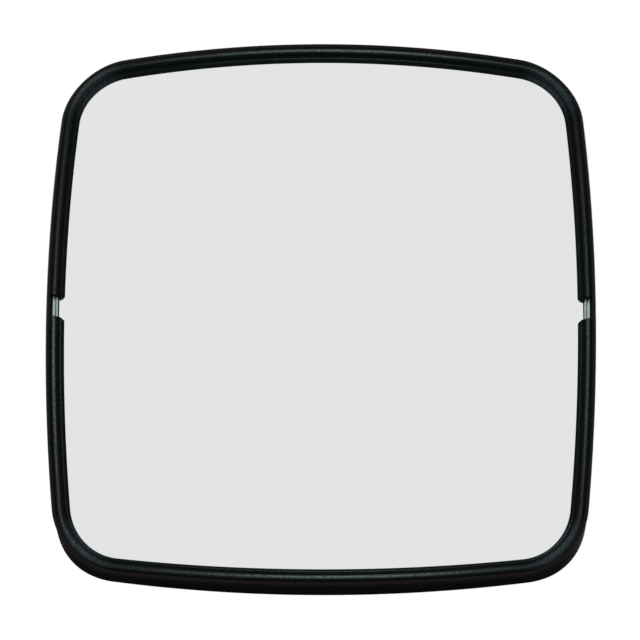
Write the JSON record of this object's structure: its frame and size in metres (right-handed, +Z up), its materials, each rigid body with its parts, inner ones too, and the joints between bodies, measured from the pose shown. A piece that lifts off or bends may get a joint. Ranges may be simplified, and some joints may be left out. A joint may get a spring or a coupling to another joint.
{
  "type": "traffic convex mirror",
  "caption": "Rounded-square convex traffic mirror in a black rubber-trimmed rim with a dished back shell, on a bracket that pans and tilts and clamps to a post or bolts to a wall.",
  "frame": {"origin": "centre of the flat rear face of the post bracket, where it meets the post or the wall", "axes": "+Z up, +Y towards the post, the mirror faces -Y"},
  "size_m": [0.6, 0.3219, 0.61],
  "materials": {
    "rubber": "matt extruded rubber",
    "plastic": "textured black moulding",
    "mirror": "silvered convex face",
    "stainless": "rolled stainless strip",
    "galvanised": "hot-dip galvanised steel",
    "zinc": "bright zinc-plated steel",
    "nylon": "natural nylon"
  },
  "bodies": {
    "post_bracket": {"post_bracket": "galvanised", "pan_washer_upper": "zinc", "pan_washer_lower": "zinc", "pan_bolt": "zinc", "pan_nut": "zinc", "thrust_washer_upper": "nylon", "thrust_washer_lower": "nylon", "u_bolt_upper": "zinc", "u_bolt_lower": "zinc", "u_washer_upper_left": "zinc", "u_washer_upper_right": "zinc", "u_washer_lower_left": "zinc", "u_washer_lower_right": "zinc", "u_nut_upper_left": "zinc", "u_nut_upper_right": "zinc", "u_nut_lower_left": "zinc", "u_nut_lower_right": "zinc"},
    "swivel_yoke": {"swivel_yoke": "galvanised", "tilt_spacer": "zinc", "tilt_bolt": "zinc", "tilt_nut": "zinc", "tilt_washer_left": "zinc", "tilt_washer_right": "zinc", "friction_disc_left": "nylon", "friction_disc_right": "nylon", "lock_bolt": "zinc", "lock_nut": "zinc"},
    "mirror_head": {"mirror_face": "mirror", "face_seal": "rubber", "retaining_band": "stainless", "band_joint_plate": "stainless", "upper_trim": "rubber", "lower_trim": "rubber", "back_shell": "plastic", "band_screw_1": "zinc", "band_screw_2": "zinc", "band_screw_3": "zinc", "band_screw_4": "zinc", "band_screw_5": "zinc", "band_screw_6": "zinc", "band_screw_7": "zinc", "band_screw_8": "zinc", "band_screw_9": "zinc", "band_screw_10": "zinc", "inner_plate": "galvanised", "head_bracket": "galvanised", "head_washer_1": "zinc", "head_washer_2": "zinc", "head_washer_3": "zinc", "head_washer_4": "zinc", "head_bolt_1": "zinc", "head_bolt_2": "zinc", "head_bolt_3": "zinc", "head_bolt_4": "zinc", "head_nut_1": "zinc", "head_nut_2": "zinc", "head_nut_3": "zinc", "head_nut_4": "zinc"}
  },
  "joints": [
    {"name": "pan", "type": "hinge", "parent": "post_bracket", "child": "swivel_yoke", "pos_m": [0, -0.042, 0], "axis": [0, 0, 1], "range_deg": [-60, 60]},
    {"name": "tilt", "type": "hinge", "parent": "swivel_yoke", "child": "mirror_head", "pos_m": [0, -0.097, 0], "axis": [1, 0, 0], "range_deg": [-20, 20]}
  ]
}
